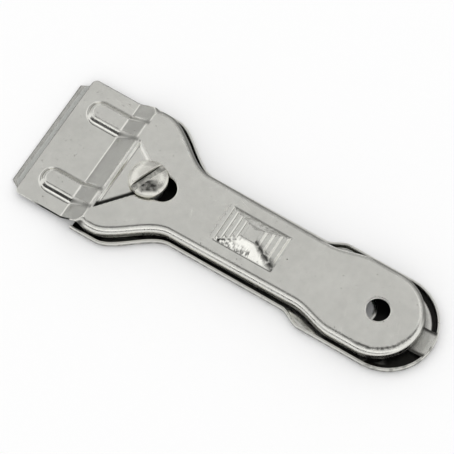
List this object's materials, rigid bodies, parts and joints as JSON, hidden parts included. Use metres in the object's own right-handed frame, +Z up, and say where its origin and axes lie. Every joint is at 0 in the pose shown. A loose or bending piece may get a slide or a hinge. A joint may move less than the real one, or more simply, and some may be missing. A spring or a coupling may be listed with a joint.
{
  "type": "window scraper",
  "caption": "Pressed-metal window scraper: nested leaves clamp a wide single-edge blade, with a slotted clamp screw, thumb pad and hanging hole.",
  "frame": {"origin": "middle of the tool's length and width, on the underside of the base plate", "axes": "+X along the tool towards the blade, +Y to the left when the blade points ahead and the screw is up, +Z up out of the thumb pad"},
  "size_m": [0.129, 0.045, 0.0098],
  "materials": {
    "base_plate": "bright plated sheet, slightly worn",
    "top_plate": "bright plated sheet, slightly worn",
    "blade": "ground steel",
    "blade_spine": "folded steel strip",
    "clamp_screw": "bright plated sheet, slightly worn",
    "clamp_nut": "turned steel"
  },
  "bodies": {
    "base": {"base_plate": "base_plate", "clamp_nut": "clamp_nut"},
    "leaf": {"top_plate": "top_plate"},
    "blade_set": {"blade": "blade", "blade_spine": "blade_spine"},
    "screw": {"clamp_screw": "clamp_screw"}
  },
  "joints": [
    {"name": "leaf_slide", "type": "slide", "parent": "base", "child": "leaf", "axis": [1, 0, 0], "range_m": [0, 0.0048]},
    {"name": "blade_draw", "type": "slide", "parent": "leaf", "child": "blade_set", "axis": [0, 1, 0], "range_m": [-0.045, 0.045]},
    {"name": "screw_turn", "type": "hinge", "parent": "base", "child": "screw", "pos_m": [0.0294, 0, 0], "axis": [0, 0, 1], "range_deg": [0, 720]}
  ]
}
